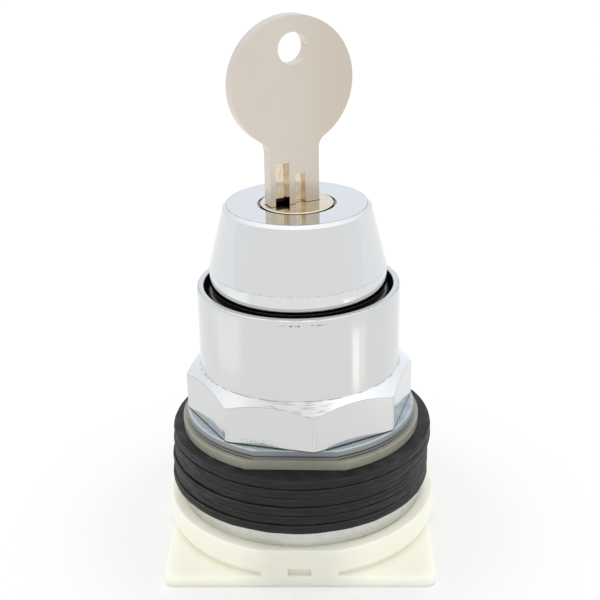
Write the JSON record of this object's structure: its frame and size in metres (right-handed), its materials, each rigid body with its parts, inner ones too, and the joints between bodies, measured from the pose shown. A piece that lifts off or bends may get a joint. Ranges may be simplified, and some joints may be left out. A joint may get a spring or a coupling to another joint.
{
  "type": "selector key switch",
  "caption": "Panel-mounted selector switch worked by a round-bow key, with a chrome lock cap, octagonal ring nut, stacked rubber gaskets and a plastic rear base.",
  "frame": {"origin": "centre of the rear face of the base, where the contact block fastens", "axes": "+Z along the lock and key, out of the panel; -Y towards the flats of the base, ring and washer"},
  "size_m": [0.0458, 0.0444, 0.0885],
  "materials": {
    "natural_nylon": "milky, slightly see-through moulding",
    "black_nylon": "moulded",
    "acetal": "smooth moulding",
    "clear_plastic": "see-through, yellowed",
    "black_rubber": "die-cut sheet with dull faces",
    "zinc_steel": "bright zinc plate with a blue cast",
    "zinc_casting": "zinc die-casting, plated",
    "spring_steel": "drawn wire",
    "chrome": "bright plate over turned metal",
    "brass": "turned",
    "nickel_brass": "nickel plate worn to brass",
    "nickel_key": "nickel silver with a fine upright grain"
  },
  "bodies": {
    "housing": {"rear_base": "natural_nylon", "contact_block_inserts": "brass", "base_screws": "zinc_steel", "plunger_guide": "black_nylon", "plunger_spring_left": "spring_steel", "plunger_spring_right": "spring_steel", "spacer_sleeve": "acetal", "detent_housing": "black_nylon", "detent_balls": "spring_steel", "detent_springs": "spring_steel", "stop_pin": "zinc_steel", "threaded_barrel": "zinc_casting", "locating_pin": "zinc_steel", "panel_gasket_1": "black_rubber", "panel_gasket_2": "black_rubber", "panel_gasket_3": "black_rubber", "panel_gasket_4": "black_rubber", "panel_gasket_5": "black_rubber", "panel_gasket_6": "black_rubber", "insulating_ring": "clear_plastic", "cap_seal": "black_rubber", "lock_cap": "chrome", "lock_clamp_ring": "zinc_steel", "barrel_o_ring": "black_rubber", "lock_barrel": "zinc_casting"},
    "plunger_left": {"plunger_left": "acetal"},
    "plunger_right": {"plunger_right": "acetal"},
    "lock_rotor": {"lock_plug": "nickel_brass", "wafer_tumblers": "brass", "wafer_springs": "spring_steel", "plug_clip": "spring_steel", "drive_shaft": "brass", "cam_clip": "spring_steel", "switch_cam": "acetal", "detent_wheel": "black_nylon", "thrust_washer": "brass"},
    "key": {"key": "nickel_key"},
    "washer": {"trim_washer": "zinc_steel"},
    "nut": {"ring_nut": "chrome"}
  },
  "joints": [
    {"name": "key_turn", "type": "hinge", "parent": "housing", "child": "lock_rotor", "pos_m": [0, 0, 0.0585], "axis": [0, 0, 1], "range_deg": [0, 120]},
    {"name": "key_withdraw", "type": "slide", "parent": "lock_rotor", "child": "key", "axis": [0, 0, 1], "range_m": [0, 0.026]},
    {"name": "plunger_left_slide", "type": "slide", "parent": "housing", "child": "plunger_left", "axis": [0, 0, 1], "range_m": [-0.003, 0], "deforming": ["plunger_spring_left"]},
    {"name": "plunger_right_slide", "type": "slide", "parent": "housing", "child": "plunger_right", "axis": [0, 0, 1], "range_m": [0, 0.003], "deforming": ["plunger_spring_right"]},
    {"name": "nut_rise", "type": "slide", "parent": "housing", "child": "washer", "axis": [0, 0, 1], "range_m": [0, 0.006]},
    {"name": "nut_turn", "type": "hinge", "parent": "washer", "child": "nut", "pos_m": [0, 0, 0.0231], "axis": [0, 0, 1], "range_deg": [0, 1440]}
  ],
  "couplings": [
    {"joint": "plunger_left_slide", "follows": "key_turn", "m_per_rad": -0.0014324},
    {"joint": "plunger_right_slide", "follows": "key_turn", "m_per_rad": 0.0014324},
    {"joint": "nut_rise", "follows": "nut_turn", "m_per_rad": 0.00023873}
  ]
}
